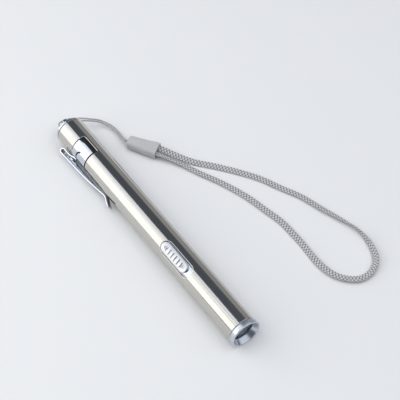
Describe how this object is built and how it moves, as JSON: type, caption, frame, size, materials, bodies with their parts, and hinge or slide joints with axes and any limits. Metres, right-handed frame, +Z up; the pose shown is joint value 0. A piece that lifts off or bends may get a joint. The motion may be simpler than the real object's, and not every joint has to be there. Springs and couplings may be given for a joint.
{
  "type": "penlight",
  "caption": "Slim metal pocket light: tubular barrel, lens bezel, slide switch, folded spring clip and a wrist cord with a soft sleeve.",
  "frame": {"origin": "on the ground plane, under the middle of the light's bounding box with the lanyard left out", "axes": "+X along the barrel towards the lens, +Z up from the ground the light lies on, the lanyard lies on the +Y side and the clip leans towards -Y"},
  "size_m": [0.1415, 0.0824, 0.0136],
  "materials": {
    "brushed_steel": "fine lengthwise brushed stainless steel",
    "polished_steel": "mirror-polished stainless steel",
    "spring_steel": "bright drawn spring wire",
    "black_plastic": "matt moulded black plastic",
    "black_rubber": "plain black seal rubber",
    "cell_sleeve": null,
    "contact_brass": "rolled brass contact strip",
    "turned_aluminium": "turned bare aluminium",
    "circuit_board": "green solder mask on glass laminate",
    "emitter_resin": "clear yellow phosphor resin",
    "mirror_coat": "vacuum-coated mirror on plastic",
    "clear_glass": "clear polished glass",
    "silicone": "soft translucent grey-white silicone",
    "grey_braid": "light grey woven polyester braid"
  },
  "bodies": {
    "barrel": {"barrel_tube": "brushed_steel", "battery_liner": "black_plastic", "battery_cell_rear": "cell_sleeve", "battery_cell_front": "cell_sleeve", "tail_plug": "polished_steel", "tail_seal_ring": "black_rubber", "battery_spring": "spring_steel", "clip_saddle": "polished_steel", "lead_strip": "contact_brass", "positive_contact": "contact_brass", "front_insulator": "black_plastic", "led_housing": "turned_aluminium", "driver_board": "circuit_board", "led_board": "circuit_board", "led_emitter": "emitter_resin", "reflector": "mirror_coat", "lanyard_string": "grey_braid", "lanyard_bead": "silicone", "lanyard_strap": "grey_braid"},
    "switch": {"switch_knob": "brushed_steel", "switch_shutter": "polished_steel", "switch_wiper": "contact_brass"},
    "clip": {"clip_arm": "polished_steel"},
    "bezel": {"bezel_ring": "polished_steel", "lens": "clear_glass", "lens_seal_ring": "black_rubber"}
  },
  "joints": [
    {"name": "switch_slide", "type": "slide", "parent": "barrel", "child": "switch", "axis": [1, 0, 0], "range_m": [0, 0.0024]},
    {"name": "clip_flex", "type": "hinge", "parent": "barrel", "child": "clip", "pos_m": [-0.05615, -0.00596, 0.00265], "axis": [0, 0.5, -0.866], "range_deg": [0, 6], "stiffness_Nm_per_rad": 2.5},
    {"name": "bezel_turn", "type": "hinge", "parent": "barrel", "child": "bezel", "pos_m": [0, 0.00123, 0.0068], "axis": [1, 0, 0], "range_deg": [0, 1440]}
  ]
}
